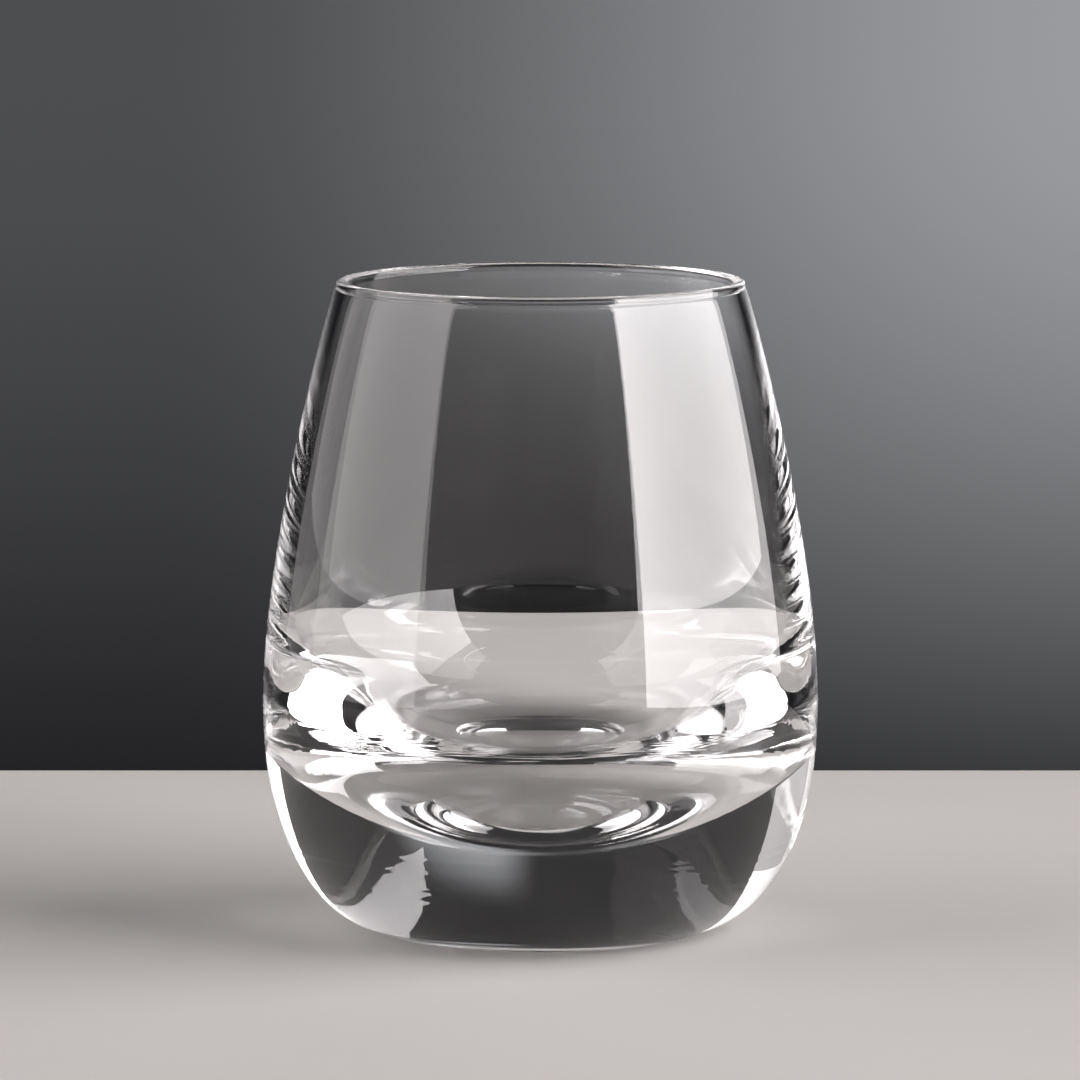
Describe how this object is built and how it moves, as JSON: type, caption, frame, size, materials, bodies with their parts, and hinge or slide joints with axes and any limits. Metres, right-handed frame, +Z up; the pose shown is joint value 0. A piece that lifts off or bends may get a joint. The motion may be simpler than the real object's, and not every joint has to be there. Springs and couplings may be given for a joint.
{
  "type": "whisky tasting glass",
  "caption": "Stemless clear whisky tasting glass: a heavy solid base swells to a round belly, and the bowl tapers up to a thin, slightly beaded rim.",
  "frame": {"origin": "on the axis of the glass, in the plane of the flat ring that it stands on", "axes": "+Z up along the axis of the glass, out of its mouth; X and Y are alike, because the glass is round"},
  "size_m": [0.084, 0.084, 0.0984],
  "materials": {
    "clear_glass": "clear colourless crystal glass, fire-polished, with faint forming ripples"
  },
  "bodies": {
    "root": {"heavy_base": "clear_glass", "bowl": "clear_glass", "rim": "clear_glass"}
  },
  "joints": []
}
